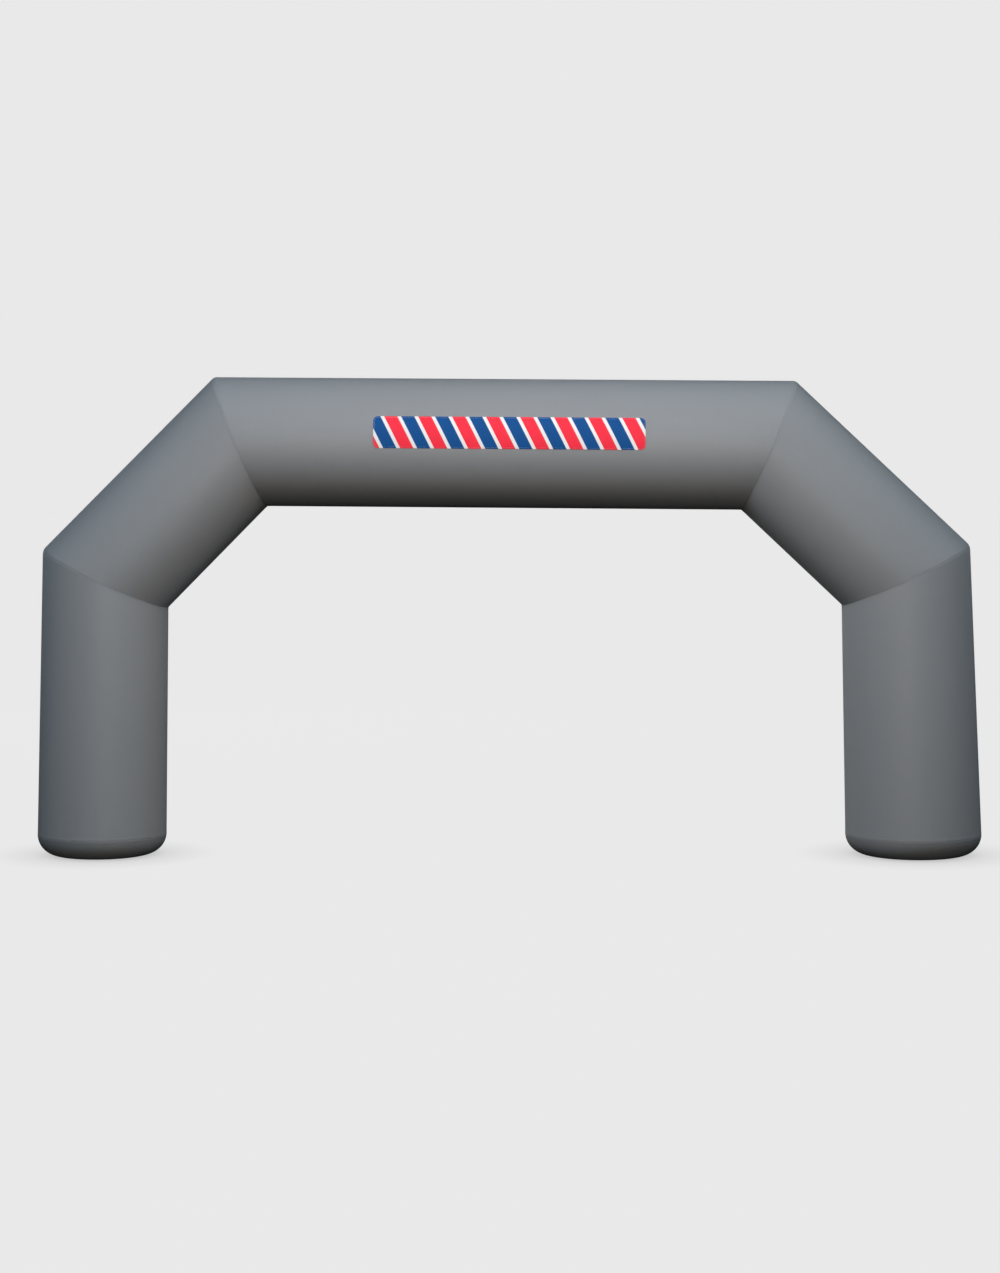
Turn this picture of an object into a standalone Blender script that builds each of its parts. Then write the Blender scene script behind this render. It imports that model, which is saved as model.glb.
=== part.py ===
"""Inflatable event arch: seven air-filled fabric panels and a banner patch.

A straight tube is mitred at the shoulders and at both ends of the crown, and stands on two rounded
feet. Each panel is one closed solid that ends in the plane of its seam. Metres, +Z up. The origin is
on the floor, under the middle of the arch. +X runs to the right as seen from the front, which faces -Y.
"""

import math
from functools import partial
from typing import Callable, NamedTuple

import bmesh
import bpy
from mathutils import Vector

ARCH_NAME = "inflatable_arch"

# Tube and panels
TUBE_FACETS = 96
SEAM_GAP = 0.0003
EASING_ROWS = 2
INNER_EASING = 0.006
SEAM_SHARE = 0.5

# Feet
FOOT_HEIGHT = 0.130
FOOT_INSET = 0.135
FOOT_ROWS = 9

# Banner patch on the front of the crown
BANNER_LENGTH = 1.670
BANNER_HEIGHT = 0.200
BANNER_THICKNESS = 0.002
BANNER_MIDDLE_X = 0.018
BANNER_RISE = math.radians(8.4)
BANNER_CORNER = 0.030
BANNER_CORNER_SEGMENTS = 5
BANNER_ROWS = 8
BANNER_LIFT = 0.0004

# Finishes
FABRIC_GREY = (0.250, 0.263, 0.275, 1.0)
FABRIC_ROUGHNESS = 0.55
BANNER_WHITE = (0.760, 0.765, 0.770, 1.0)
BANNER_ROUGHNESS = 0.50

FRONT = Vector((0.0, -1.0, 0.0))
UP = Vector((0.0, 0.0, 1.0))
QUARTER_TURN = math.radians(90)


class Seam(NamedTuple):
    """A ring where two panels are sewn together, named by the corners of the arch's outline it joins."""

    outer_x: float
    outer_z: float
    inner_x: float
    inner_z: float
    half_depth: float
    easing: float

    @property
    def centre(self) -> Vector:
        return Vector(((self.outer_x + self.inner_x) / 2, 0.0, (self.outer_z + self.inner_z) / 2))

    @property
    def outward(self) -> Vector:
        """From the ring's centre to the outer corner."""
        return Vector(((self.outer_x - self.inner_x) / 2, 0.0, (self.outer_z - self.inner_z) / 2))

    @property
    def normal(self) -> Vector:
        """Across the seam's plane, on along the arch from the left foot to the right one."""
        return self.outward.cross(FRONT).normalized()

    def point(self, angle: float) -> Vector:
        """The ring at an angle from its outer corner, turning towards the front."""
        return self.centre + self.outward * math.cos(angle) + FRONT * self.half_depth * math.sin(angle)

    def easing_at(self, angle: float) -> float:
        """How far from the ring the fold starts to round off: widest at the outer corner."""
        outer_share = (1 + math.cos(angle)) / 2
        return INNER_EASING + (self.easing - INNER_EASING) * outer_share


# The seams from the left foot to the right foot, each a little uneven as the sewn tube is.
#             outer x  outer z  inner x  inner z  half depth  easing
SEAMS = (
    Seam(-2.985, FOOT_HEIGHT, -2.175, FOOT_HEIGHT, 0.405, 0.000),
    Seam(-2.930, 1.935, -2.150, 1.565, 0.405, 0.030),
    Seam(-1.840, 3.015, -1.515, 2.205, 0.405, 0.020),
    Seam(1.805, 2.980, 1.470, 2.175, 0.405, 0.020),
    Seam(2.900, 1.950, 2.105, 1.575, 0.405, 0.030),
    Seam(2.985, FOOT_HEIGHT, 2.135, FOOT_HEIGHT, 0.425, 0.000),
)
PANEL_NAMES = ("left_leg", "left_shoulder", "crown", "right_shoulder", "right_leg")
LEFT_FOOT_SEAM, LEFT_CROWN_SEAM, RIGHT_CROWN_SEAM, RIGHT_FOOT_SEAM = 0, 2, 3, len(SEAMS) - 1

RingPoint = Callable[[float], Vector]


def eased_point(index: int, share: float, angle: float) -> Vector:
    """A point on the rounded fold at a seam: share 0 is where the fold starts, 0.5 the seam, 1 its end."""
    seam = SEAMS[index]
    corner = seam.point(angle)
    if index in (LEFT_FOOT_SEAM, RIGHT_FOOT_SEAM):
        return corner
    before = (corner - SEAMS[index - 1].point(angle)).normalized()
    after = (SEAMS[index + 1].point(angle) - corner).normalized()
    reach = seam.easing_at(angle)
    return corner - before * reach * (1 - share) ** 2 + after * reach * share**2


def panel_end(index: int, side: int, angle: float) -> Vector:
    """The ring where a panel ends, flat in the seam's plane and half a gap to one side of it."""
    seam = SEAMS[index]
    on_fold = eased_point(index, SEAM_SHARE, angle)
    off_plane = (on_fold - seam.centre).dot(seam.normal)
    return on_fold - seam.normal * (off_plane - side * SEAM_GAP / 2)


def panel_rings(index: int) -> list[RingPoint]:
    """The rings of the panel between a seam and the next one along the arch."""
    steps = [SEAM_SHARE * row / EASING_ROWS for row in range(EASING_ROWS)]
    rings = [partial(panel_end, index, 1)]
    if index != LEFT_FOOT_SEAM:
        rings += [partial(eased_point, index, 1 - step) for step in reversed(steps)]
    if index + 1 != RIGHT_FOOT_SEAM:
        rings += [partial(eased_point, index + 1, step) for step in steps]
    return rings + [partial(panel_end, index + 1, -1)]


def foot_point(seam: Seam, turn: float, angle: float) -> Vector:
    """A point on a foot: turn is 0 at its seam and a quarter turn where the round edge meets the floor."""
    inset = FOOT_INSET * (1 - math.cos(turn))
    across = seam.outward.normalized() * (seam.outward.length - inset) * math.cos(angle)
    forward = FRONT * (seam.half_depth - inset) * math.sin(angle)
    height = (FOOT_HEIGHT - SEAM_GAP / 2) * (1 - math.sin(turn))
    return Vector((seam.centre.x, 0.0, height)) + across + forward


def foot_rings(index: int) -> list[RingPoint]:
    """The rings of the foot under a leg, from its flat underside up to its seam."""
    turns = [QUARTER_TURN * (1 - row / FOOT_ROWS) for row in range(FOOT_ROWS + 1)]
    return [partial(foot_point, SEAMS[index], turn) for turn in turns]


def new_collection(name: str) -> bpy.types.Collection:
    """A collection in the scene for the arch's parts."""
    collection = bpy.data.collections.new(name)
    bpy.context.scene.collection.children.link(collection)
    return collection


def new_material(name: str, colour: tuple[float, ...], roughness: float) -> bpy.types.Material:
    """A Principled material of one colour."""
    material = bpy.data.materials.new(name)
    material.use_nodes = True
    shader = material.node_tree.nodes["Principled BSDF"]
    shader.inputs["Base Color"].default_value = colour
    shader.inputs["Roughness"].default_value = roughness
    shader.inputs["Metallic"].default_value = 0.0
    material.diffuse_color = colour
    return material


def new_object(
    name: str, shape: bmesh.types.BMesh, collection: bpy.types.Collection, material: bpy.types.Material
) -> bpy.types.Object:
    """An object made from a finished bmesh, which is freed."""
    mesh = bpy.data.meshes.new(name)
    shape.to_mesh(mesh)
    shape.free()
    mesh.materials.append(material)
    made = bpy.data.objects.new(name, mesh)
    collection.objects.link(made)
    return made


def tube(name: str, rings: list[RingPoint], collection: bpy.types.Collection) -> bpy.types.Object:
    """A closed panel: a cylinder cut into rows, with each row moved out to its ring."""
    shape = bmesh.new()
    bmesh.ops.create_cone(
        shape, cap_ends=True, segments=TUBE_FACETS, radius1=1.0, radius2=1.0, depth=1.0
    )
    lengthwise = [edge for edge in shape.edges if abs(edge.verts[0].co.z - edge.verts[1].co.z) > 0.5]
    bmesh.ops.subdivide_edges(shape, edges=lengthwise, cuts=len(rings) - 2)
    for vertex in shape.verts:
        row = round((vertex.co.z + 0.5) * (len(rings) - 1))
        vertex.co = rings[row](math.atan2(vertex.co.y, vertex.co.x))
    shape.normal_update()
    bmesh.ops.recalc_face_normals(shape, faces=shape.faces)
    for face in shape.faces:
        face.smooth = len(face.verts) <= 4
    for edge in shape.edges:
        edge.smooth = all(face.smooth for face in edge.link_faces)
    material = new_material(f"{name}_fabric", FABRIC_GREY, FABRIC_ROUGHNESS)
    return new_object(name, shape, collection, material)


def on_crown(along: float, angle: float, lift: float) -> Vector:
    """The point of the crown's surface at a distance along X and an angle from its top, lifted off it."""
    left = SEAMS[LEFT_CROWN_SEAM].point(angle)
    right = SEAMS[RIGHT_CROWN_SEAM].point(angle)
    share = (along - left.x) / (right.x - left.x)
    outward = UP * math.cos(angle) + FRONT * math.sin(angle)
    return left.lerp(right, share) + outward * lift


def banner(collection: bpy.types.Collection) -> bpy.types.Object:
    """The patch on the crown: a flat plate with rounded corners, cut into rows and wrapped on the tube."""
    shape = bmesh.new()
    bmesh.ops.create_grid(shape, x_segments=1, y_segments=1, size=0.5)
    bmesh.ops.scale(shape, vec=Vector((BANNER_LENGTH, BANNER_HEIGHT, 1.0)), verts=shape.verts)
    bmesh.ops.bevel(
        shape, geom=shape.verts, offset=BANNER_CORNER, segments=BANNER_CORNER_SEGMENTS,
        profile=0.5, affect="VERTICES",
    )
    for row in range(1, BANNER_ROWS):
        level = BANNER_HEIGHT * (row / BANNER_ROWS - 0.5)
        bmesh.ops.bisect_plane(
            shape, geom=shape.verts[:] + shape.edges[:] + shape.faces[:],
            plane_co=Vector((0.0, level, 0.0)), plane_no=Vector((0.0, 1.0, 0.0)),
        )
    radius = SEAMS[LEFT_CROWN_SEAM].half_depth
    for vertex in shape.verts:
        angle = QUARTER_TURN - BANNER_RISE - vertex.co.y / radius
        vertex.co = on_crown(BANNER_MIDDLE_X + vertex.co.x, angle, BANNER_LIFT)
    for face in shape.faces:
        face.smooth = True
    material = new_material("banner_fabric", BANNER_WHITE, BANNER_ROUGHNESS)
    made = new_object("banner", shape, collection, material)
    thicken = made.modifiers.new("thickness", "SOLIDIFY")
    thicken.thickness = BANNER_THICKNESS
    thicken.offset = 1.0
    thicken.use_even_offset = True
    return made


def clear_scene() -> None:
    """Removes what the scene holds."""
    for found in list(bpy.data.objects):
        bpy.data.objects.remove(found, do_unlink=True)


def build_arch() -> None:
    """Makes every part of the arch."""
    parts = new_collection(ARCH_NAME)
    tube("left_foot", foot_rings(LEFT_FOOT_SEAM), parts)
    for index, name in enumerate(PANEL_NAMES):
        tube(name, panel_rings(index), parts)
    tube("right_foot", foot_rings(RIGHT_FOOT_SEAM), parts)
    banner(parts)


clear_scene()
build_arch()
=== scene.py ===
"""Looks of an inflatable event arch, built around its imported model.

Lengths are in metres, in the model's own frame. +X runs to the right along the crown, and the floor is
at Z = 0. The front, with the banner, faces -Y.
"""

import logging
import math
from abc import ABC, abstractmethod
from dataclasses import dataclass, field
from enum import Enum, IntEnum
from functools import partial
from itertools import product
from typing import Any, Callable, Iterator, Sequence, Union

import bmesh
import bpy
from mathutils import Matrix, Vector


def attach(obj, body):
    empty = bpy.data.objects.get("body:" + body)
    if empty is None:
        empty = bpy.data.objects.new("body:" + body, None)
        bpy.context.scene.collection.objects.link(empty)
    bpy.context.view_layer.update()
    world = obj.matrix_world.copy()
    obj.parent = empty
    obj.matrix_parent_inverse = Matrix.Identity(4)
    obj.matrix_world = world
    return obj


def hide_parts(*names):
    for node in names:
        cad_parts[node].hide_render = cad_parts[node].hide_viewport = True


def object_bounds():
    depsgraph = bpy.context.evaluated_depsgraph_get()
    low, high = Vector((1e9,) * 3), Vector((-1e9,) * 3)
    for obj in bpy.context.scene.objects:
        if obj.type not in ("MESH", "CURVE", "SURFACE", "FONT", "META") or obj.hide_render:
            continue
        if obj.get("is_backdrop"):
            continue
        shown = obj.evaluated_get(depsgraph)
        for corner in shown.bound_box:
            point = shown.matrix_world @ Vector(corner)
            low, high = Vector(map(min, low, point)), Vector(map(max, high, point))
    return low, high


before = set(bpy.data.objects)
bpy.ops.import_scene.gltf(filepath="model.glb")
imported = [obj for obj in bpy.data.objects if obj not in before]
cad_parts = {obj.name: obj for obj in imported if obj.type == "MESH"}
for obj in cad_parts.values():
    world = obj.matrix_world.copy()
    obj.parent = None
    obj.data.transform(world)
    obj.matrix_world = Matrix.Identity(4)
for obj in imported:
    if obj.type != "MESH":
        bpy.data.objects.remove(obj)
CAD_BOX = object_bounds()

LOG = logging.getLogger("inflatable_arch")
BODY = "root"
CLOTH_MAP = "cloth"
ORIGIN = (0.0, 0.0, 0.0)
FRONT = Vector((0.0, -1.0, 0.0))
UP = Vector((0.0, 0.0, 1.0))

# An angle round a tube is nought on its outer side and turns towards the front.
QUARTER_TURN = math.radians(90)
FULL_TURN = math.radians(360)
BACK = -QUARTER_TURN

# The cloth's noises are read at levels of their own, so that none repeats another.
WARP_LAYER = 0.0
WEFT_LAYER = 3.0
COATING_LAYER = 7.0

# The largest exponent of a soft edge, by which it has all but faded.
LONGEST_FADE = 60.0

# A Mix node's sockets for colours, whose names its sockets for other data share.
FIRST_COLOUR = 6
SECOND_COLOUR = 7
MIXED_COLOUR = 2

Triple = tuple[float, float, float]
Colour = Triple
Tint = Union[Sequence[float], bpy.types.NodeSocket]
RingPoint = Callable[[float], Vector]
SewnPoint = tuple[Vector, Vector]
FlatPlace = tuple[float, float]

# What a node is given: values and links, by the name or the number of the socket.
Inputs = dict[Any, Any]


# ---------------- shader building


@dataclass(frozen=True)
class Value:
    """A number in a shader. Python's operators on it add Math nodes."""

    shader: "Shader"
    socket: bpy.types.NodeSocket

    def __add__(self, other: "Number") -> "Value":
        """This value plus another."""
        return self.shader.math("ADD", self, other)

    def __radd__(self, other: "Number") -> "Value":
        """Another value plus this one."""
        return self.shader.math("ADD", other, self)

    def __sub__(self, other: "Number") -> "Value":
        """This value less another."""
        return self.shader.math("SUBTRACT", self, other)

    def __rsub__(self, other: "Number") -> "Value":
        """Another value less this one."""
        return self.shader.math("SUBTRACT", other, self)

    def __mul__(self, other: "Number") -> "Value":
        """This value times another."""
        return self.shader.math("MULTIPLY", self, other)

    def __truediv__(self, other: "Number") -> "Value":
        """This value over another."""
        return self.shader.math("DIVIDE", self, other)

    def __gt__(self, other: "Number") -> "Value":
        """One where this value is the larger, and nought elsewhere."""
        return self.shader.math("GREATER_THAN", self, other)

    def sine(self) -> "Value":
        """The sine of this value, in radians."""
        return self.shader.math("SINE", self)

    def size(self) -> "Value":
        """This value without its sign."""
        return self.shader.math("ABSOLUTE", self)

    def fraction(self) -> "Value":
        """What this value has over the whole number below it."""
        return self.shader.math("FRACT", self)

    def clamped(self) -> "Value":
        """This value held between nought and one."""
        return self.shader.math("MINIMUM", self.shader.math("MAXIMUM", self, 0.0), 1.0)


Number = Union[Value, float]


class Shader:
    """The node tree of a material or of the world, written from Python."""

    def __init__(self, tree: bpy.types.NodeTree) -> None:
        """Empties the node tree that is to be filled."""
        self.tree = tree
        tree.nodes.clear()

    def node(
        self, kind: str, settings: dict[str, Any] | None = None, inputs: Inputs | None = None
    ) -> bpy.types.Node:
        """Adds a node.

        Args:
            kind: the node's type.
            settings: its settings, which are made first.
            inputs: the values and links of its sockets.

        Returns:
            The new node.
        """
        made = self.tree.nodes.new(kind)
        for name, setting in (settings or {}).items():
            setattr(made, name, setting)
        for name, given in (inputs or {}).items():
            source = given.socket if isinstance(given, Value) else given
            if isinstance(source, bpy.types.NodeSocket):
                self.tree.links.new(source, made.inputs[name])
            else:
                made.inputs[name].default_value = source
        return made

    def math(self, operation: str, *terms: Number) -> Value:
        """What a Math node makes of its values. The operation has Blender's name."""
        made = self.node("ShaderNodeMath", {"operation": operation}, dict(enumerate(terms)))
        return Value(self, made.outputs[0])

    def parted(self, vector: bpy.types.NodeSocket) -> tuple[Value, Value, Value]:
        """The X, Y and Z of a vector."""
        parts = self.node("ShaderNodeSeparateXYZ", inputs={0: vector}).outputs
        return Value(self, parts[0]), Value(self, parts[1]), Value(self, parts[2])

    def joined(self, *parts: Number) -> bpy.types.NodeSocket:
        """A vector of three values."""
        return self.node("ShaderNodeCombineXYZ", inputs=dict(enumerate(parts))).outputs[0]

    def cloth_place(self) -> tuple[Value, Value]:
        """Where a point lies on the flat cloth, across it and along it, in metres."""
        return self.parted(self.node("ShaderNodeUVMap", {"uv_map": CLOTH_MAP}).outputs["UV"])[:2]

    def object_place(self) -> bpy.types.NodeSocket:
        """Where a point lies in the object's own space, in metres."""
        return self.node("ShaderNodeTexCoord").outputs["Object"]

    def noise(self, place: bpy.types.NodeSocket, lumps: float = 1.0, detail: float = 2.0) -> Value:
        """Smooth noise from nought to one, by its lumps to a unit of the place and its finer layers."""
        made = self.node("ShaderNodeTexNoise", inputs={"Vector": place, "Scale": lumps, "Detail": detail})
        return Value(self, made.outputs["Fac"])

    def toned(self, colour: Tint, tone: Number) -> bpy.types.NodeSocket:
        """A colour times a tone, which makes it lighter or darker."""
        made = self.node("ShaderNodeVectorMath", {"operation": "SCALE"}, {0: colour, "Scale": tone})
        return made.outputs["Vector"]

    def blended(self, share: Number, first: Tint, second: Tint) -> bpy.types.NodeSocket:
        """A mix of two colours, by the share of the second one."""
        inputs = {0: share, FIRST_COLOUR: first, SECOND_COLOUR: second}
        return self.node("ShaderNodeMix", {"data_type": "RGBA"}, inputs).outputs[MIXED_COLOUR]

    def bumped(self, height: Value, distance: float, strength: float = 1.0) -> bpy.types.NodeSocket:
        """A surface direction roughened by a height. A height of one stands a distance in metres out."""
        inputs = {"Strength": strength, "Distance": distance, "Height": height}
        return self.node("ShaderNodeBump", inputs=inputs).outputs["Normal"]


def opaque(colour: Colour) -> tuple[float, float, float, float]:
    """A colour as a socket takes it, with nothing seen through."""
    return (*colour, 1.0)


# ---------------- finishes


@dataclass(frozen=True)
class Finish(ABC):
    """A surface finish of one main colour."""

    name: str
    colour: Colour

    @abstractmethod
    def inputs(self, shader: Shader) -> Inputs:
        """What the finish gives its Principled node, each kind of finish in its own way."""

    def build(self) -> bpy.types.Material:
        """Makes the material.

        Returns:
            The material.
        """
        made = bpy.data.materials.new(self.name)
        made.use_nodes = True
        shader = Shader(made.node_tree)
        surface = shader.node("ShaderNodeBsdfPrincipled", inputs=self.inputs(shader)).outputs["BSDF"]
        shader.node("ShaderNodeOutputMaterial", inputs={"Surface": surface})
        made.diffuse_color = opaque(self.colour)
        return made


@dataclass(frozen=True)
class CoatedCloth(Finish):
    """Coated woven cloth, as the tube panels are cut from.

    A yarn is its distance to the next one, in metres, and a slub, a thick stretch of yarn, is measured in
    yarns. Each tone says how far the cloth gets lighter or darker. The coating dries unevenly, in so many
    lumps to a metre across and along the cloth.
    """

    roughness: float = 0.50
    specular: float = 0.50
    roughness_swing: float = 0.10
    yarn: float = 0.0011
    yarn_relief: float = 0.00012
    yarn_tone: float = 0.030
    crossing_share: float = 0.35
    slub_width: float = 3.0
    slub_length: float = 40.0
    slub_tone: float = 0.020
    cloud: float = 0.55
    cloud_detail: float = 3.0
    cloud_tone: float = 0.022
    coating_relief: float = 0.0009
    coating_lumps: tuple[float, float] = (2.2, 1.1)

    def weave(self, shader: Shader) -> tuple[Value, Value]:
        """The plain weave of the cloth.

        Args:
            shader: the tree that it is added to.

        Returns:
            The height of the yarns and their thick and thin stretches, both from nought to one.
        """
        across, along = shader.cloth_place()
        turn = FULL_TURN / (2 * self.yarn)
        crossings = (across * turn).sine() * (along * turn).sine()
        thread, run = 1 / (self.slub_width * self.yarn), 1 / (self.slub_length * self.yarn)
        warp = shader.noise(shader.joined(across * thread, along * run, WARP_LAYER))
        weft = shader.noise(shader.joined(across * run, along * thread, WEFT_LAYER))
        slubs = (warp + weft) * 0.5
        return (crossings + 1.0) * self.crossing_share + slubs * (1 - 2 * self.crossing_share), slubs

    def tone(self, shader: Shader, yarns: Value, slubs: Value) -> Value:
        """How light the cloth is from place to place.

        Args:
            shader: the tree that it is added to.
            yarns: the height of the yarns.
            slubs: the yarns' thick and thin stretches.

        Returns:
            The tone, about one.
        """
        clouds = shader.noise(shader.object_place(), 1 / self.cloud, self.cloud_detail)
        weave_tone = (yarns - 0.5) * self.yarn_tone + (slubs - 0.5) * self.slub_tone
        return weave_tone + (clouds - 0.5) * (2 * self.cloud_tone) + 1.0

    def dyed(self, shader: Shader) -> Tint:
        """The colour of the cloth before its tones, the same all over unless it is printed."""
        return self.colour

    def inputs(self, shader: Shader) -> Inputs:
        """What the cloth gives its Principled node.

        Args:
            shader: the tree that it is added to.

        Returns:
            The values and links, by socket.
        """
        yarns, slubs = self.weave(shader)
        across, along = shader.cloth_place()
        lumps_across, lumps_along = self.coating_lumps
        lumps = shader.joined(across * lumps_across, along * lumps_along, COATING_LAYER)
        relief = yarns * (self.yarn_relief / self.coating_relief) + shader.noise(lumps, detail=1.0)
        return {
            "Base Color": shader.toned(self.dyed(shader), self.tone(shader, yarns, slubs)),
            "Roughness": (slubs - 0.5) * self.roughness_swing + self.roughness,
            "Specular IOR Level": self.specular,
            "Normal": shader.bumped(relief, self.coating_relief),
        }


@dataclass(frozen=True)
class BarredCloth(CoatedCloth):
    """Banner cloth printed with slanted bars of two colours in turn."""

    first_bar: Colour = (0.006, 0.076, 0.262)
    second_bar: Colour = (0.90, 0.033, 0.062)
    pitch: float = 0.1044
    bar_share: float = 0.78
    slant: float = 0.5
    ink_edge: float = 0.0012

    def dyed(self, shader: Shader) -> bpy.types.NodeSocket:
        """The bars on the cloth.

        Args:
            shader: the tree that they are added to.

        Returns:
            The colour's socket.
        """
        across, along = shader.cloth_place()
        step = (across + along * self.slant) / self.pitch
        inside_bar = (self.bar_share / 2 - (step.fraction() - 0.5).size()) * self.pitch
        ink = (inside_bar / self.ink_edge + 0.5).clamped()
        is_second = (step * 0.5).fraction() > 0.5
        bars = shader.blended(is_second, opaque(self.first_bar), opaque(self.second_bar))
        return shader.blended(ink, opaque(self.colour), bars)


@dataclass(frozen=True)
class SewingThread(Finish):
    """Twisted polyester thread."""

    roughness: float = 0.55
    fibre: float = 0.0004
    fibre_tone: float = 0.25
    fibre_strength: float = 0.3

    def inputs(self, shader: Shader) -> Inputs:
        """What the thread gives its Principled node.

        Args:
            shader: the tree that it is added to.

        Returns:
            The values and links, by socket.
        """
        fibres = shader.noise(shader.object_place(), 1 / self.fibre, 1.0)
        return {
            "Base Color": shader.toned(self.colour, (fibres - 0.5) * self.fibre_tone + 1.0),
            "Roughness": self.roughness,
            "Normal": shader.bumped(fibres, self.fibre, self.fibre_strength),
        }


@dataclass(frozen=True)
class StudioPaint(Finish):
    """The pale floor, kept even by a light of its own, with a painted contact shadow: the glow weakens
    close to what stands on it.
    """

    glow: Colour
    shade_reach: float = 0.36
    shade_samples: int = 4
    shade: float = 0.34

    def inputs(self, shader: Shader) -> Inputs:
        """What the floor gives its Principled node.

        Args:
            shader: the tree that it is added to.

        Returns:
            The values and links, by socket.
        """
        # Painted contact shadow: ambient occlusion darkens the floor's glow close to the feet.
        corners = shader.node(
            "ShaderNodeAmbientOcclusion", {"samples": self.shade_samples}, {"Distance": self.shade_reach}
        )
        painted_shadow_factor = Value(shader, corners.outputs["AO"]) * self.shade + (1 - self.shade)
        return {
            "Base Color": opaque(self.colour),
            "Roughness": 1.0,
            "Specular IOR Level": 0.0,
            "Emission Color": shader.toned(self.glow, painted_shadow_factor),
            "Emission Strength": 1.0,
        }


class Finishes:
    """The finishes of the arch, each made once."""

    def __init__(self) -> None:
        """Makes every material."""
        self.tube = CoatedCloth("grey_tube_cloth", (0.250, 0.263, 0.275)).build()
        # The feet's cloth is a shade darker than the tubes': partly a heavier base cloth, partly painted
        # shade close to the floor.
        self.base = CoatedCloth("grey_base_cloth_painted_shade", (0.200, 0.210, 0.219)).build()
        banner = BarredCloth("barred_banner_cloth", (0.79, 0.79, 0.78), roughness=0.60, specular=0.12)
        self.banner = banner.build()
        self.grey_thread = SewingThread("grey_sewing_thread", (0.20, 0.21, 0.22)).build()
        self.white_thread = SewingThread("white_sewing_thread", (0.70, 0.70, 0.69)).build()


# ---------------- modelling helpers


def deselect_all() -> None:
    """Leaves nothing selected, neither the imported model's nodes nor the last piece."""
    bpy.ops.object.select_all(action="DESELECT")


def soft_step(past: float, width: float) -> float:
    """One well before an edge and nought well past it, with a soft change of a width between."""
    return 1 / (1 + math.exp(min(past / width, LONGEST_FADE)))


def cut_cylinder(name: str, rows: int, facets: int) -> bpy.types.Object:
    """A cylinder whose lengthwise edges are cut, so that it has rows of points.

    Args:
        name: its name.
        rows: how many rings of points it gets.
        facets: how many points a ring has.

    Returns:
        The cylinder, upright on the origin, one metre long and one metre in radius.
    """
    deselect_all()
    bpy.ops.mesh.primitive_cylinder_add(vertices=facets, radius=1.0, depth=1.0, end_fill_type="NGON")
    made = bpy.context.active_object
    made.name = made.data.name = name
    bpy.ops.object.mode_set(mode="EDIT")
    bpy.ops.mesh.select_all(action="DESELECT")
    bpy.ops.mesh.select_mode(type="EDGE")
    editing = bmesh.from_edit_mesh(made.data)
    for edge in editing.edges:
        edge.select = abs(edge.verts[0].co.z - edge.verts[1].co.z) > 0.5
    bmesh.update_edit_mesh(made.data)
    bpy.ops.mesh.subdivide(number_cuts=rows - 2)
    bpy.ops.object.mode_set(mode="OBJECT")
    return made


def turned_body(
    name: str, rings: Sequence[RingPoint], lengths: Sequence[float], radius: float, facets: int
) -> bpy.types.Object:
    """A closed body of rings: a cylinder is cut into rows, and each row is moved out to its ring.

    Args:
        name: the object's name.
        rings: each ring's points by angle, in order.
        lengths: how far along the cloth each ring lies.
        radius: the radius that the cloth is wrapped round.
        facets: how many points a ring has.

    Returns:
        The body, whose cloth map lays its cloth out flat in metres.
    """
    made = cut_cylinder(name, len(rings), facets)
    body = bmesh.new()
    body.from_mesh(made.data)
    cloth = body.loops.layers.uv.new(CLOTH_MAP)
    places = {
        vertex: (math.atan2(vertex.co.y, vertex.co.x), round((vertex.co.z + 0.5) * (len(rings) - 1)))
        for vertex in body.verts
    }
    for face in body.faces:
        angles = [places[loop.vert][0] for loop in face.loops]
        if max(angles) - min(angles) > FULL_TURN / 2:
            angles = [angle + FULL_TURN if angle < 0 else angle for angle in angles]
        for loop, angle in zip(face.loops, angles):
            loop[cloth].uv = (angle * radius, lengths[places[loop.vert][1]])
        face.smooth = len(face.verts) <= 4
    for vertex, (angle, row) in places.items():
        vertex.co = rings[row](angle)
    body.normal_update()
    bmesh.ops.recalc_face_normals(body, faces=body.faces)
    # The flat ends keep a crisp edge.
    for edge in body.edges:
        edge.smooth = all(face.smooth for face in edge.link_faces)
    body.to_mesh(made.data)
    body.free()
    return made


def dress(made: bpy.types.Object, finish: bpy.types.Material) -> None:
    """Gives a piece its finish and its place in the frame.

    Args:
        made: the piece.
        finish: its material.
    """
    made.data.materials.clear()
    made.data.materials.append(finish)
    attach(made, BODY)


# ---------------- the arch's outline


@dataclass(frozen=True)
class Seam:
    """A ring where two panels are sewn together, given by the outline's corners that it joins."""

    outer_x: float
    outer_z: float
    inner_x: float
    inner_z: float
    half_depth: float
    easing: float
    inner_easing: float = 0.006

    @property
    def centre(self) -> Vector:
        """The middle of the ring."""
        return Vector(((self.outer_x + self.inner_x) / 2, 0.0, (self.outer_z + self.inner_z) / 2))

    @property
    def outward(self) -> Vector:
        """From the middle of the ring to its outer corner."""
        return Vector(((self.outer_x - self.inner_x) / 2, 0.0, (self.outer_z - self.inner_z) / 2))

    @property
    def normal(self) -> Vector:
        """Across the seam's plane, on along the arch from the left foot to the right one."""
        return self.outward.cross(FRONT).normalized()

    def point(self, angle: float) -> Vector:
        """The ring at an angle from its outer corner, turning towards the front."""
        return self.centre + self.outward * math.cos(angle) + FRONT * self.half_depth * math.sin(angle)

    def easing_at(self, angle: float) -> float:
        """How far from the seam the fold starts to round off: widest at the outer corner."""
        outer_share = (1 + math.cos(angle)) / 2
        return self.inner_easing + (self.easing - self.inner_easing) * outer_share


FOOT_HEIGHT = 0.130

# Two panels are this far apart at their seam, and are moved for it only within its reach.
SEAM_GAP = 0.0003
GAP_REACH = 0.010

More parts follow.
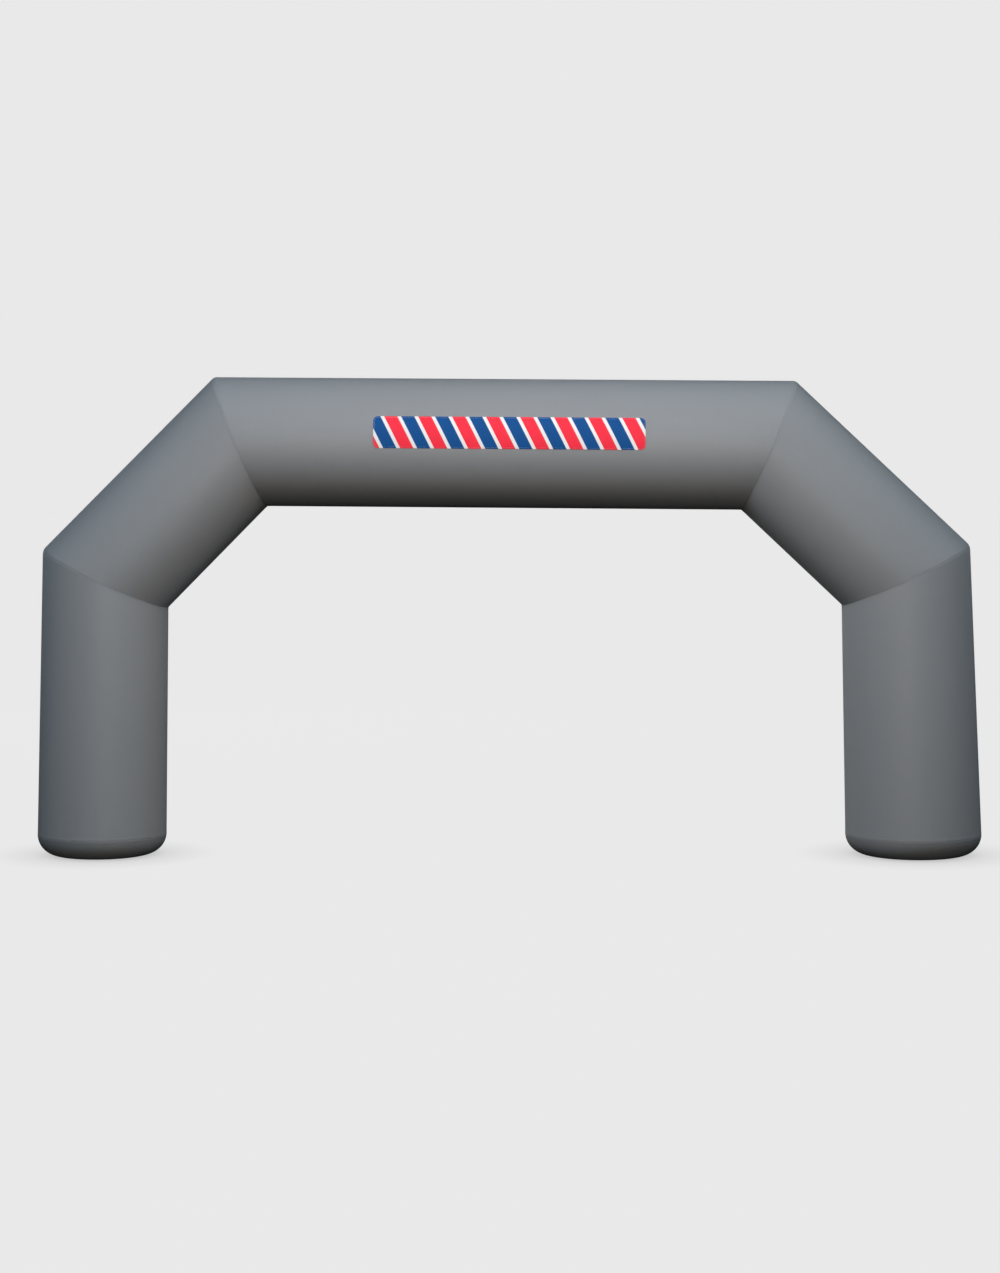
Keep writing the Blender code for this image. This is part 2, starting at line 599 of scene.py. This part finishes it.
# The seams from the left foot to the right foot.
#             outer x  outer z  inner x  inner z  half depth  easing
SEAMS = (
    Seam(-2.985, FOOT_HEIGHT, -2.175, FOOT_HEIGHT, 0.405, 0.000, 0.000),
    Seam(-2.930, 1.935, -2.150, 1.565, 0.405, 0.030),
    Seam(-1.840, 3.015, -1.515, 2.205, 0.405, 0.020),
    Seam(1.805, 2.980, 1.470, 2.175, 0.405, 0.020),
    Seam(2.900, 1.950, 2.105, 1.575, 0.405, 0.030),
    Seam(2.985, FOOT_HEIGHT, 2.135, FOOT_HEIGHT, 0.425, 0.000, 0.000),
)


class Part(Enum):
    """Filled parts of the arch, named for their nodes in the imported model."""

    @property
    def node(self) -> str:
        """The node's name."""
        return self.name.lower()


class Place(Part):
    """The panels of the arch, by the number of the seam before each."""

    LEFT_LEG = 0
    LEFT_SHOULDER = 1
    CROWN = 2
    RIGHT_SHOULDER = 3
    RIGHT_LEG = 4


class Foot(Part):
    """The feet of the arch, by the number of the seam on top of each."""

    LEFT_FOOT = 0
    RIGHT_FOOT = len(SEAMS) - 1


class End(IntEnum):
    """The two ends of a panel, by how many seams each lies past the panel's first."""

    FIRST = 0
    SECOND = 1

    @property
    def onward(self) -> int:
        """The step from the end's seam to the one beyond it, away from the panel."""
        return 1 if self is End.SECOND else -1


@dataclass(frozen=True)
class Pucker:
    """Small waves round a seam: how many there are, their share of the height, and where they start."""

    count: int
    share: float
    start: float


@dataclass(frozen=True)
class SeamRelief:
    """The small shapes that sewing leaves in the cloth beside a seam.

    The cloth is tucked in at the seam, lies double in a felled band beside it, and puckers. The puckers
    fade with their distance from the seam, and they swell and shrink a few times round it.
    """

    tuck_depth: float = 0.0012
    tuck_reach: float = 0.0009
    band_height: float = 0.0004
    band_width: float = 0.0150
    band_edge: float = 0.00075
    pucker_height: float = 0.00040
    pucker_start: float = 0.006
    pucker_reach: float = 0.032
    puckers: tuple[Pucker, ...] = (
        Pucker(61, 0.40, 0.3), Pucker(79, 0.35, 1.9), Pucker(94, 0.30, 4.4), Pucker(113, 0.25, 2.7)
    )
    swell_share: float = 0.4
    swell_count: int = 5
    swell_turn: float = 2.1

    def lift(self, distance: float, angle: float, phase: float) -> float:
        """How far the cloth stands off its plain shape.

        Args:
            distance: how far the point is from the seam.
            angle: where it is round the seam.
            phase: turns the puckers of one seam from those of another.

        Returns:
            The height, below nought where the cloth is drawn in.
        """
        tuck = -self.tuck_depth * math.exp(-distance / self.tuck_reach)
        band = self.band_height * soft_step(distance - self.band_width, self.band_edge)
        waves = sum(
            pucker.share * math.sin(pucker.count * (angle + phase) + pucker.start)
            for pucker in self.puckers
        )
        swell = 1 + self.swell_share * (math.sin(self.swell_count * angle + self.swell_turn * phase) - 1)
        started = 1 - math.exp(-distance / self.pucker_start)
        fading = math.exp(-distance / self.pucker_reach)
        return tuck + band + self.pucker_height * waves * swell * started * fading


@dataclass(frozen=True)
class LapSeam:
    """The lengthwise seam at the back of a tube, where its cloth is lapped and closed."""

    height: float = 0.0005
    half_width: float = 0.012
    edge: float = 0.003
    row_inset: float = 0.004

    def lift(self, angle: float, radius: float) -> float:
        """How far the lapped cloth stands up at an angle round a tube of a radius."""
        off_seam = abs((angle - BACK + FULL_TURN / 2) % FULL_TURN - FULL_TURN / 2) * radius
        return self.height * soft_step(off_seam - self.half_width, self.edge)


RELIEF = SeamRelief()
LAP = LapSeam()

# How far from a seam each row of a panel's points lies, closest where the relief is sharpest.
NEAR_SEAM = (
    0.0, 0.0004, 0.0009, 0.0018, 0.0032, 0.0055, 0.009, 0.0125,
    0.0155, 0.0185, 0.023, 0.030, 0.040, 0.054, 0.072, 0.095,
)


# ---------------- panels


@dataclass
class TubePanel:
    """A straight tube panel between two seams, drawn tight by the air inside."""

    place: Place
    facets: int = 288
    middle_step: float = 0.060

    @property
    def start(self) -> Seam:
        """The seam at the panel's beginning."""
        return SEAMS[self.place.value]

    @property
    def end(self) -> Seam:
        """The seam at the panel's end."""
        return SEAMS[self.place.value + 1]

    @property
    def outward(self) -> Vector:
        """Square to the panel, away from the passage under the arch."""
        along = (self.end.centre - self.start.centre).normalized()
        return FRONT.cross(along).normalized()

    def radial(self, angle: float) -> Vector:
        """The direction out of the tube at an angle."""
        return self.outward * math.cos(angle) + FRONT * math.sin(angle)

    def folded(self, near: End, distance: float, angle: float) -> Vector:
        """A point at a distance from one of the panel's seams, on the rounded fold where it lies on one.

        Args:
            near: the panel's end that has the seam.
            distance: how far the point is from the seam.
            angle: where it is round the tube.

        Returns:
            The point.
        """
        number = self.place.value + near
        seam = SEAMS[number]
        corner = seam.point(angle)
        inward = (SEAMS[number - near.onward].point(angle) - corner).normalized()
        reach = seam.easing_at(angle)
        beyond = number + near.onward
        if distance >= reach or not 0 <= beyond < len(SEAMS):
            return corner + inward * distance
        # The fold is one curve from the tube beyond to this one, and half of it lies on each.
        outward = (SEAMS[beyond].point(angle) - corner).normalized()
        share = 0.5 + 0.5 * distance / reach
        return corner + outward * reach * (1 - share) ** 2 + inward * reach * share**2

    def near_ring(self, near: End, distance: float, angle: float) -> Vector:
        """A point near a seam, with the relief that the seam leaves and clear of the next panel.

        Args:
            near: the panel's end that has the seam.
            distance: how far the point is from the seam.
            angle: where it is round the tube.

        Returns:
            The point.
        """
        number = self.place.value + near
        seam = SEAMS[number]
        lift = RELIEF.lift(distance, angle, number) + LAP.lift(angle, seam.half_depth)
        clear = SEAM_GAP / 2 * max(0.0, 1 - distance / GAP_REACH) * -near.onward
        return self.folded(near, distance, angle) + self.radial(angle) * lift + seam.normal * clear

    def middle_ring(self, share: float, angle: float) -> Vector:
        """A point on the straight stretch between the seams, by its share of the way along it."""
        first, last = (self.near_ring(near, NEAR_SEAM[-1], angle) for near in End)
        return first.lerp(last, share)

    def lengthwise(self, share: float, end_gap: float, angle: float) -> Vector:
        """A point on a line that runs along the tube from close to one seam to close to the next.

        Args:
            share: the share of the line that lies behind.
            end_gap: how far the line's ends are from the seams.
            angle: where the line is round the tube.

        Returns:
            The point.
        """
        length = (self.end.point(angle) - self.start.point(angle)).length
        distance = end_gap + (length - 2 * end_gap) * share
        reach = NEAR_SEAM[-1]
        if distance < reach:
            return self.near_ring(End.FIRST, distance, angle)
        if length - distance < reach:
            return self.near_ring(End.SECOND, length - distance, angle)
        return self.middle_ring((distance - reach) / (length - 2 * reach), angle)

    def rings(self) -> tuple[list[RingPoint], list[float]]:
        """The panel's rows of points.

        Returns:
            The rings from the first seam to the second, and how far along the cloth each one lies.
        """
        length = (self.end.centre - self.start.centre).length
        straight = length - 2 * NEAR_SEAM[-1]
        steps = math.ceil(straight / self.middle_step)
        shares = [step / steps for step in range(1, steps)]
        rings: list[RingPoint] = [partial(self.near_ring, End.FIRST, distance) for distance in NEAR_SEAM]
        rings += [partial(self.middle_ring, share) for share in shares]
        rings += [partial(self.near_ring, End.SECOND, distance) for distance in reversed(NEAR_SEAM)]
        lengths = [*NEAR_SEAM, *(NEAR_SEAM[-1] + straight * share for share in shares)]
        lengths += [length - distance for distance in reversed(NEAR_SEAM)]
        return rings, lengths

    def build(self, finishes: Finishes) -> bpy.types.Object:
        """Makes the panel.

        Args:
            finishes: the arch's materials.

        Returns:
            The panel.
        """
        made = turned_body(f"{self.place.node}_panel", *self.rings(), self.start.half_depth, self.facets)
        dress(made, finishes.tube)
        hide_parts(self.place.node)
        return made


@dataclass
class FootCup:
    """The rounded base panel under a leg, flat where it stands."""

    foot: Foot
    inset: float = 0.135
    facets: int = 288
    seam_rows_reach: float = 0.030
    arc_rows: int = 22

    @property
    def seam(self) -> Seam:
        """The seam on top of the foot."""
        return SEAMS[self.foot.value]

    def ring(self, turn: float, angle: float) -> Vector:
        """A point on the cup, with the relief that its seam leaves.

        Args:
            turn: nought at the seam, and a quarter turn where the round edge meets the floor.
            angle: where the point is round the cup.

        Returns:
            The point.
        """
        drawn = self.inset * (1 - math.cos(turn))
        out = self.seam.outward.normalized() * math.cos(angle)
        across = out * (self.seam.outward.length - drawn)
        forward = FRONT * (self.seam.half_depth - drawn) * math.sin(angle)
        level = (FOOT_HEIGHT - SEAM_GAP / 2) * (1 - math.sin(turn))
        side = (out + FRONT * math.sin(angle)).normalized()
        direction = side * math.cos(turn) - UP * math.sin(turn)
        # Half a seam on, the puckers differ from those of the leg on top.
        lift = RELIEF.lift(turn * self.inset, angle, self.foot.value + 0.5) * math.cos(turn) ** 2
        return Vector((self.seam.centre.x, 0.0, level)) + across + forward + direction * lift

    def build(self, finishes: Finishes) -> bpy.types.Object:
        """Makes the foot.

        Args:
            finishes: the arch's materials.

        Returns:
            The foot.
        """
        turns = [distance / self.inset for distance in NEAR_SEAM if distance < self.seam_rows_reach]
        arc = QUARTER_TURN - turns[-1]
        turns += [turns[-1] + arc * row / self.arc_rows for row in range(1, self.arc_rows + 1)]
        turns.reverse()
        rings = [partial(self.ring, turn) for turn in turns]
        lengths = [-turn * self.inset for turn in turns]
        made = turned_body(f"{self.foot.node}_cup", rings, lengths, self.seam.half_depth, self.facets)
        # The feet's darker cloth carries painted shade close to the floor.
        dress(made, finishes.base)
        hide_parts(self.foot.node)
        return made


# ---------------- stitching


@dataclass(frozen=True)
class Footing:
    """Where a stitch goes: a point on the cloth, the way out of it and the way along the row."""

    point: Vector
    out: Vector
    along: Vector

    def matrix(self) -> Matrix:
        """Moves a stitch from the origin to its place.

        Returns:
            The move as a matrix.
        """
        across = self.out.cross(self.along).normalized()
        along = across.cross(self.out).normalized()
        turn = Matrix((along, across, self.out.normalized())).transposed()
        return Matrix.Translation(self.point) @ turn.to_4x4()


@dataclass(frozen=True)
class Stitch:
    """One stitch of a lockstitched row, half sunk in the cloth, and the rows that are sewn with it."""

    length: float = 0.0062
    width: float = 0.0011
    height: float = 0.0008
    gap: float = 0.0022
    sides: int = 5
    rings: int = 3
    path_samples: int = 720

    def build(self) -> bpy.types.Mesh:
        """Makes the stitch, lying along X with Z up.

        Returns:
            Its mesh.
        """
        deselect_all()
        bpy.ops.mesh.primitive_uv_sphere_add(segments=self.sides, ring_count=self.rings, radius=0.5)
        made = bpy.context.active_object
        bpy.ops.object.mode_set(mode="EDIT")
        bpy.ops.mesh.select_all(action="SELECT")
        bpy.ops.transform.rotate(value=QUARTER_TURN, orient_axis="Y", center_override=ORIGIN)
        bpy.ops.transform.resize(value=(self.length, self.width, self.height), center_override=ORIGIN)
        bpy.ops.object.mode_set(mode="OBJECT")
        mesh = made.data
        bpy.data.objects.remove(made)
        return mesh

    def spaced(self, path: Callable[[float], SewnPoint], closed: bool) -> list[Footing]:
        """The places of a row of stitches, evenly spaced along a path.

        Args:
            path: a point and the way out of the cloth, by the share of the path that lies behind.
            closed: whether the path ends where it began.

        Returns:
            The places.
        """
        traced = [path(step / self.path_samples) for step in range(self.path_samples + 1)]
        reached = [0.0]
        for before, after in zip(traced, traced[1:]):
            reached.append(reached[-1] + (after[0] - before[0]).length)
        count = round(reached[-1] / (self.length + self.gap))
        places = []
        step = 0
        for number in range(count if closed else count + 1):
            wanted = reached[-1] * number / count
            while step < self.path_samples - 1 and reached[step + 1] < wanted:
                step += 1
            share = (wanted - reached[step]) / (reached[step + 1] - reached[step])
            (point, out), (next_point, next_out) = traced[step], traced[step + 1]
            places.append(
                Footing(point.lerp(next_point, share), out.lerp(next_out, share), next_point - point)
            )
        return places

    def sew(
        self, name: str, places: Sequence[Footing], thread: bpy.types.Material, slot: str
    ) -> bpy.types.Object:
        """Copies the stitch to every place of its rows.

        Args:
            name: the piece's name.
            places: where the stitches go.
            thread: their material.
            slot: not used.

        Returns:
            The rows as one piece.
        """
        pattern = self.build()
        gathered = bmesh.new()
        for place in places:
            placed = pattern.copy()
            placed.transform(place.matrix())
            gathered.from_mesh(placed)
            bpy.data.meshes.remove(placed)
        for face in gathered.faces:
            face.smooth = True
        mesh = bpy.data.meshes.new(name)
        gathered.to_mesh(mesh)
        gathered.free()
        bpy.data.meshes.remove(pattern)
        made = bpy.data.objects.new(name, mesh)
        bpy.context.scene.collection.objects.link(made)
        dress(made, thread)
        return made


@dataclass
class SeamStitching:
    """Two rows of stitches beside each seam, and two along the lap seam at a panel's back."""

    panels: Sequence[TubePanel]
    stitch: Stitch = field(default_factory=Stitch)
    row_distances: tuple[float, ...] = (0.0045, 0.0115)

    def ring_path(self, panel: TubePanel, near: End, distance: float, share: float) -> SewnPoint:
        """A point of a row round the tube beside one of its seams, and the way out of the cloth."""
        angle = BACK + FULL_TURN * share
        return panel.near_ring(near, distance, angle), panel.radial(angle)

    def lap_path(self, panel: TubePanel, side: int, share: float) -> SewnPoint:
        """A point of a row along one side of the lap seam, and the way out of the cloth."""
        angle = BACK + side * (LAP.half_width - LAP.row_inset) / panel.start.half_depth
        return panel.lengthwise(share, self.row_distances[-1], angle), panel.radial(angle)

    def build(self, finishes: Finishes) -> Iterator[bpy.types.Object]:
        """Sews each panel's rows.

        Args:
            finishes: the arch's materials.

        Returns:
            A piece for each panel.
        """
        for panel in self.panels:
            places: list[Footing] = []
            for near, distance in product(End, self.row_distances):
                places += self.stitch.spaced(partial(self.ring_path, panel, near, distance), closed=True)
            for side in (-1, 1):
                places += self.stitch.spaced(partial(self.lap_path, panel, side), closed=False)
            name = f"{panel.place.node}_stitching"
            yield self.stitch.sew(name, places, finishes.grey_thread, "tube_fabric")


# ---------------- banner


@dataclass
class Banner:
    """The printed patch on the front of the crown, with a turned and sewn hem.

    A place on the flat banner is how far it lies to the right of the banner's middle and above it.
    """

    crown: TubePanel
    length: float = 1.670
    height: float = 0.200
    thickness: float = 0.0012
    hem_height: float = 0.0004
    hem_width: float = 0.014
    hem_edge: float = 0.0008
    sewn_share: float = 0.6
    dip_depth: float = 0.0003
    dip_width: float = 0.0015
    middle_x: float = 0.018
    rise: float = math.radians(8.4)
    corner: float = 0.030
    lift: float = 0.0006
    columns: int = 240
    rows: int = 40
    column_rim_share: float = 0.12
    row_rim_share: float = 0.35
    stitch: Stitch = field(default_factory=lambda: Stitch(length=0.0045, gap=0.0018, width=0.0009))

    @property
    def sewn_inset(self) -> float:
        """From the banner's edge to its sewn row."""
        return self.hem_width * self.sewn_share

    @property
    def corner_centre(self) -> FlatPlace:
        """The middle of the flat banner's upper right round corner."""
        return self.length / 2 - self.corner, self.height / 2 - self.corner

    def on_crown(self, place: FlatPlace, lift: float) -> SewnPoint:
        """Moves a place of the flat banner onto the crown.

        Args:
            place: the place.
            lift: how far it is off the crown's surface.

        Returns:
            The point, and the way out of the cloth there.
        """
        angle = QUARTER_TURN - self.rise - place[1] / self.crown.start.half_depth
        left, right = self.crown.start.point(angle), self.crown.end.point(angle)
        share = (self.middle_x + place[0] - left.x) / (right.x - left.x)
        out = self.crown.radial(angle)
        return left.lerp(right, share) + out * lift, out

    def spread(self, share: float, size: float, rim_share: float) -> float:
        """Moves the grid's even lines closer together towards the edges, where the hem is.

        Args:
            share: the line's place, from minus a half to a half.
            size: the banner's size that way.
            rim_share: the share of the lines that goes to the hem.

        Returns:
            The place in metres.
        """
        off = abs(share) * 2
        middle = size / 2 - self.hem_width
        if off > 1 - rim_share:
            place = middle + self.hem_width * (off - 1 + rim_share) / rim_share
        else:
            place = middle * off / (1 - rim_share)
        return math.copysign(place, share)

    def past_corner(self, place: FlatPlace) -> FlatPlace:
        """How far past the middle of its own corner a place is, both ways."""
        centre_x, centre_y = self.corner_centre
        return abs(place[0]) - centre_x, abs(place[1]) - centre_y

    def rounded(self, place: FlatPlace) -> FlatPlace:
        """Moves a place of the plain rectangle so that its corners are round.

        Args:
            place: the place.

        Returns:
            The new place.
        """
        past = self.past_corner(place)
        if min(past) <= 0:
            return place
        shrink = max(past) / math.hypot(*past)
        across, along = (middle + over * shrink for middle, over in zip(self.corner_centre, past))
        return math.copysign(across, place[0]), math.copysign(along, place[1])

    def inside(self, place: FlatPlace) -> float:
        """How far inside the banner's edge a place is."""
        past = self.past_corner(place)
        return self.corner - (math.hypot(*past) if min(past) > 0 else max(past))

    def face_lift(self, place: FlatPlace) -> float:
        """How far the banner's back is off the crown: higher at the hem, and dipped where it is sewn.

        Args:
            place: the place on the flat banner.

        Returns:
            The distance.
        """
        inside = self.inside(place)
        hem = self.hem_height * soft_step(inside - self.hem_width, self.hem_edge)
        dip = self.dip_depth * math.exp(-(((inside - self.sewn_inset) / self.dip_width) ** 2))
        return self.lift + hem - dip

    def sewn_outline(self, share: float) -> FlatPlace:
        """A place on the sewn row of the flat banner, which starts upwards at the lower right corner.

        Args:
            share: the share of the row that lies behind.

        Returns:
            The place.
        """
        centre_x, centre_y = self.corner_centre
        bend = self.corner - self.sewn_inset
        arc = QUARTER_TURN * bend
        runs = (2 * centre_y, 2 * centre_x, 2 * centre_y, 2 * centre_x)
        sides = ((1, 1), (-1, 1), (-1, -1), (1, -1))
        left = share * (sum(runs) + len(runs) * arc)
        quarter = 0
        while quarter < len(runs) - 1 and left > runs[quarter] + arc:
            left -= runs[quarter] + arc
            quarter += 1
        heading = QUARTER_TURN * quarter
        turn = heading + min(max(0.0, left - runs[quarter]) / bend, QUARTER_TURN)
        back = max(0.0, runs[quarter] - left)
        side_x, side_y = sides[quarter]
        return (
            side_x * centre_x + math.cos(turn) * bend + math.sin(heading) * back,
            side_y * centre_y + math.sin(turn) * bend - math.cos(heading) * back,
        )

    def hem_path(self, share: float) -> SewnPoint:
        """A point of the sewn row on the crown, and the way out of the cloth."""
        place = self.sewn_outline(share)
        return self.on_crown(place, self.face_lift(place) + self.thickness)

    def build_cloth(self) -> bpy.types.Object:
        """Makes the sheet: a flat grid is rounded at its corners, wrapped on the crown and thickened.

        Returns:
            The sheet.
        """
        deselect_all()
        bpy.ops.mesh.primitive_grid_add(x_subdivisions=self.columns, y_subdivisions=self.rows, size=1.0)
        made = bpy.context.active_object
        made.name = made.data.name = "banner_cloth"
        sheet = bmesh.new()
        sheet.from_mesh(made.data)
        cloth = sheet.loops.layers.uv.new(CLOTH_MAP)
        for vertex in sheet.verts:
            across = self.spread(vertex.co.x, self.length, self.column_rim_share)
            along = self.spread(vertex.co.y, self.height, self.row_rim_share)
            vertex.co.xy = self.rounded((across, along))
        for face in sheet.faces:
            face.smooth = True
            for loop in face.loops:
                loop[cloth].uv = loop.vert.co.xy
        for vertex in sheet.verts:
            place = (vertex.co.x, vertex.co.y)
            vertex.co = self.on_crown(place, self.face_lift(place))[0]
        sheet.to_mesh(made.data)
        sheet.free()
        thicken = made.modifiers.new("thickness", "SOLIDIFY")
        thicken.thickness = self.thickness
        thicken.offset = 1.0
        thicken.use_even_offset = True
        bpy.ops.object.modifier_apply(modifier=thicken.name)
        return made

    def build(self, finishes: Finishes) -> bpy.types.Object:
        """Makes the banner and its stitches.

        Args:
            finishes: the arch's materials.

        Returns:
            The banner.
        """
        made = self.build_cloth()
        dress(made, finishes.banner)
        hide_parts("banner")
        places = self.stitch.spaced(self.hem_path, closed=True)
        sewn = self.stitch.sew("banner_stitching", places, finishes.white_thread, "banner_fabric")
        return made


# ---------------- studio


@dataclass(frozen=True)
class SoftBox:
    """A large soft light that faces the middle of the arch. Angles are in degrees, power in watts."""

    name: str
    turn: float
    rise: float
    distance: float
    width: float
    height: float
    power: float
    colour: Colour
    glossy: bool = True
    aim: Triple = (0.0, 0.0, 1.6)

    @property
    def towards(self) -> Vector:
        """From the middle of the arch to the light: turned to the right of the front, and raised."""
        turn, rise = math.radians(self.turn), math.radians(self.rise)
        return Vector((math.sin(turn) * math.cos(rise), -math.cos(turn) * math.cos(rise), math.sin(rise)))

    def build(self) -> None:
        """Makes the light."""
        data = bpy.data.lights.new(self.name, "AREA")
        data.shape = "RECTANGLE"
        data.size, data.size_y = self.width, self.height
        data.energy = self.power
        data.color = self.colour
        made = bpy.data.objects.new(self.name, data)
        made.location = Vector(self.aim) + self.towards * self.distance
        made.rotation_euler = self.towards.to_track_quat("Z", "Y").to_euler()
        made.visible_camera = False
        made.visible_glossy = self.glossy
        bpy.context.scene.collection.objects.link(made)


@dataclass
class Studio:
    """The pale floor, the soft lights and the camera. Turns are in degrees, the lens in millimetres."""

    backdrop: Colour = (0.815, 0.815, 0.815)
    glow_colour: Colour = (1.0, 1.0, 1.0)
    horizon_glow: float = 1.38
    sky_glow: float = 0.030
    ground_glow: float = 0.012
    glow_slope: float = 2.0
    horizon_sharpness: float = 50.0
    floor_drop: float = 0.001
    floor_size: float = 400.0
    floor_colour: Colour = (0.002, 0.002, 0.002)
    floor_glow: Colour = (0.814, 0.814, 0.814)
    #        name  turn  rise  distance  width  height  power  colour  glossy
    soft_boxes: tuple[SoftBox, ...] = (
        SoftBox("low_front", 0, 8, 12.0, 5.0, 3.5, 270.0, (1.0, 0.909, 0.800)),
        SoftBox("near_front", 0, 40, 5.5, 3.0, 2.0, 111.0, (1.0, 0.772, 0.648), False),
        SoftBox("near_right", 20, 40, 5.5, 3.0, 2.0, 55.0, (0.730, 0.883, 1.0), False),
        SoftBox("high_left", -40, 42, 12.0, 5.0, 3.5, 535.0, (0.573, 0.804, 1.0), False),
        SoftBox("high_right", 70, 42, 12.0, 5.0, 3.5, 398.0, (0.683, 0.864, 1.0), False),
        SoftBox("back", 180, 12, 12.0, 8.0, 3.5, 380.0, (0.72, 0.87, 1.0), False),
        SoftBox("back_left", 210, 10, 12.0, 5.0, 3.5, 640.0, (1.0, 0.91, 0.81), False),
    )
    camera_place: Triple = (0.2388, -16.2117, 2.2859)
    camera_turn: Triple = (86.7986, 0.1360, 1.0092)
    camera_lens: float = 72.74
    frame_height: float = 36.0

    def build_floor(self) -> None:
        """Makes the floor, which the camera and the shadows see but which throws no light up."""
        deselect_all()
        bpy.ops.mesh.primitive_plane_add(size=self.floor_size, location=(0.0, 0.0, -self.floor_drop))
        made = bpy.context.active_object
        made.name = made.data.name = "studio_floor"
        made.data.materials.append(StudioPaint("pale_floor", self.floor_colour, self.floor_glow).build())
        made.visible_diffuse = False
        made.visible_glossy = False
        made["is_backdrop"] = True

    def glow(self, shader: Shader) -> Value:
        """The backdrop's light, which comes from low down all round and a little from above.

        Args:
            shader: the tree that it is added to.

        Returns:
            Its strength by direction.
        """
        height = shader.parted(shader.node("ShaderNodeTexCoord").outputs["Generated"])[2]
        low = (0.5 - height * self.glow_slope).clamped() * self.horizon_glow
        high = (0.5 + height * self.glow_slope).clamped() * self.sky_glow
        above_floor = (height * self.horizon_sharpness + 1.0).clamped()
        return (low + high) * above_floor + (1.0 - above_floor) * self.ground_glow

    def build_world(self) -> None:
        """Makes the backdrop, which the camera sees as one even tone."""
        world = bpy.data.worlds.new("studio")
        world.use_nodes = True
        bpy.context.scene.world = world
        shader = Shader(world.node_tree)
        light = shader.node(
            "ShaderNodeBackground",
            inputs={"Color": opaque(self.glow_colour), "Strength": self.glow(shader)},
        )
        seen = shader.node("ShaderNodeBackground", inputs={"Color": opaque(self.backdrop)})
        to_camera = shader.node("ShaderNodeLightPath").outputs["Is Camera Ray"]
        mixed = shader.node(
            "ShaderNodeMixShader", inputs={0: to_camera, 1: light.outputs[0], 2: seen.outputs[0]}
        )
        shader.node("ShaderNodeOutputWorld", inputs={"Surface": mixed.outputs[0]})

    def build_camera(self) -> None:
        """Makes the camera."""
        data = bpy.data.cameras.new("camera")
        data.sensor_fit = "VERTICAL"
        data.sensor_height = self.frame_height
        data.lens = self.camera_lens
        data.clip_end = 2 * self.floor_size
        made = bpy.data.objects.new("camera", data)
        made.location = self.camera_place
        made.rotation_euler = [math.radians(turn) for turn in self.camera_turn]
        bpy.context.scene.collection.objects.link(made)
        bpy.context.scene.camera = made

    def build(self) -> None:
        """Sets up the studio."""
        bpy.context.scene.view_settings.view_transform = "Standard"
        self.build_camera()
        self.build_floor()
        self.build_world()
        for soft_box in self.soft_boxes:
            soft_box.build()


# ---------------- the whole arch


def report(made: bpy.types.Object) -> None:
    """Says a piece's name and how many faces it has."""
    LOG.info("%s: %d faces", made.name, len(made.data.polygons))


def save_sizes() -> None:
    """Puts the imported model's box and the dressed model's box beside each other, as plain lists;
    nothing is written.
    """
    boxes = {"cad": CAD_BOX, "visual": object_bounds()}
    plain = {name: [list(map(float, corner)) for corner in box] for name, box in boxes.items()}


def main() -> None:
    """Builds the studio and every piece of the arch."""
    logging.basicConfig(level=logging.INFO, format="%(name)s: %(message)s")
    Studio().build()
    finishes = Finishes()
    panels = [TubePanel(place) for place in Place]
    for panel in panels:
        report(panel.build(finishes))
    for foot in Foot:
        report(FootCup(foot).build(finishes))
    for sewn in SeamStitching(panels).build(finishes):
        report(sewn)
    report(Banner(panels[Place.CROWN.value]).build(finishes))
    save_sizes()


if __name__ == "__main__":
    main()
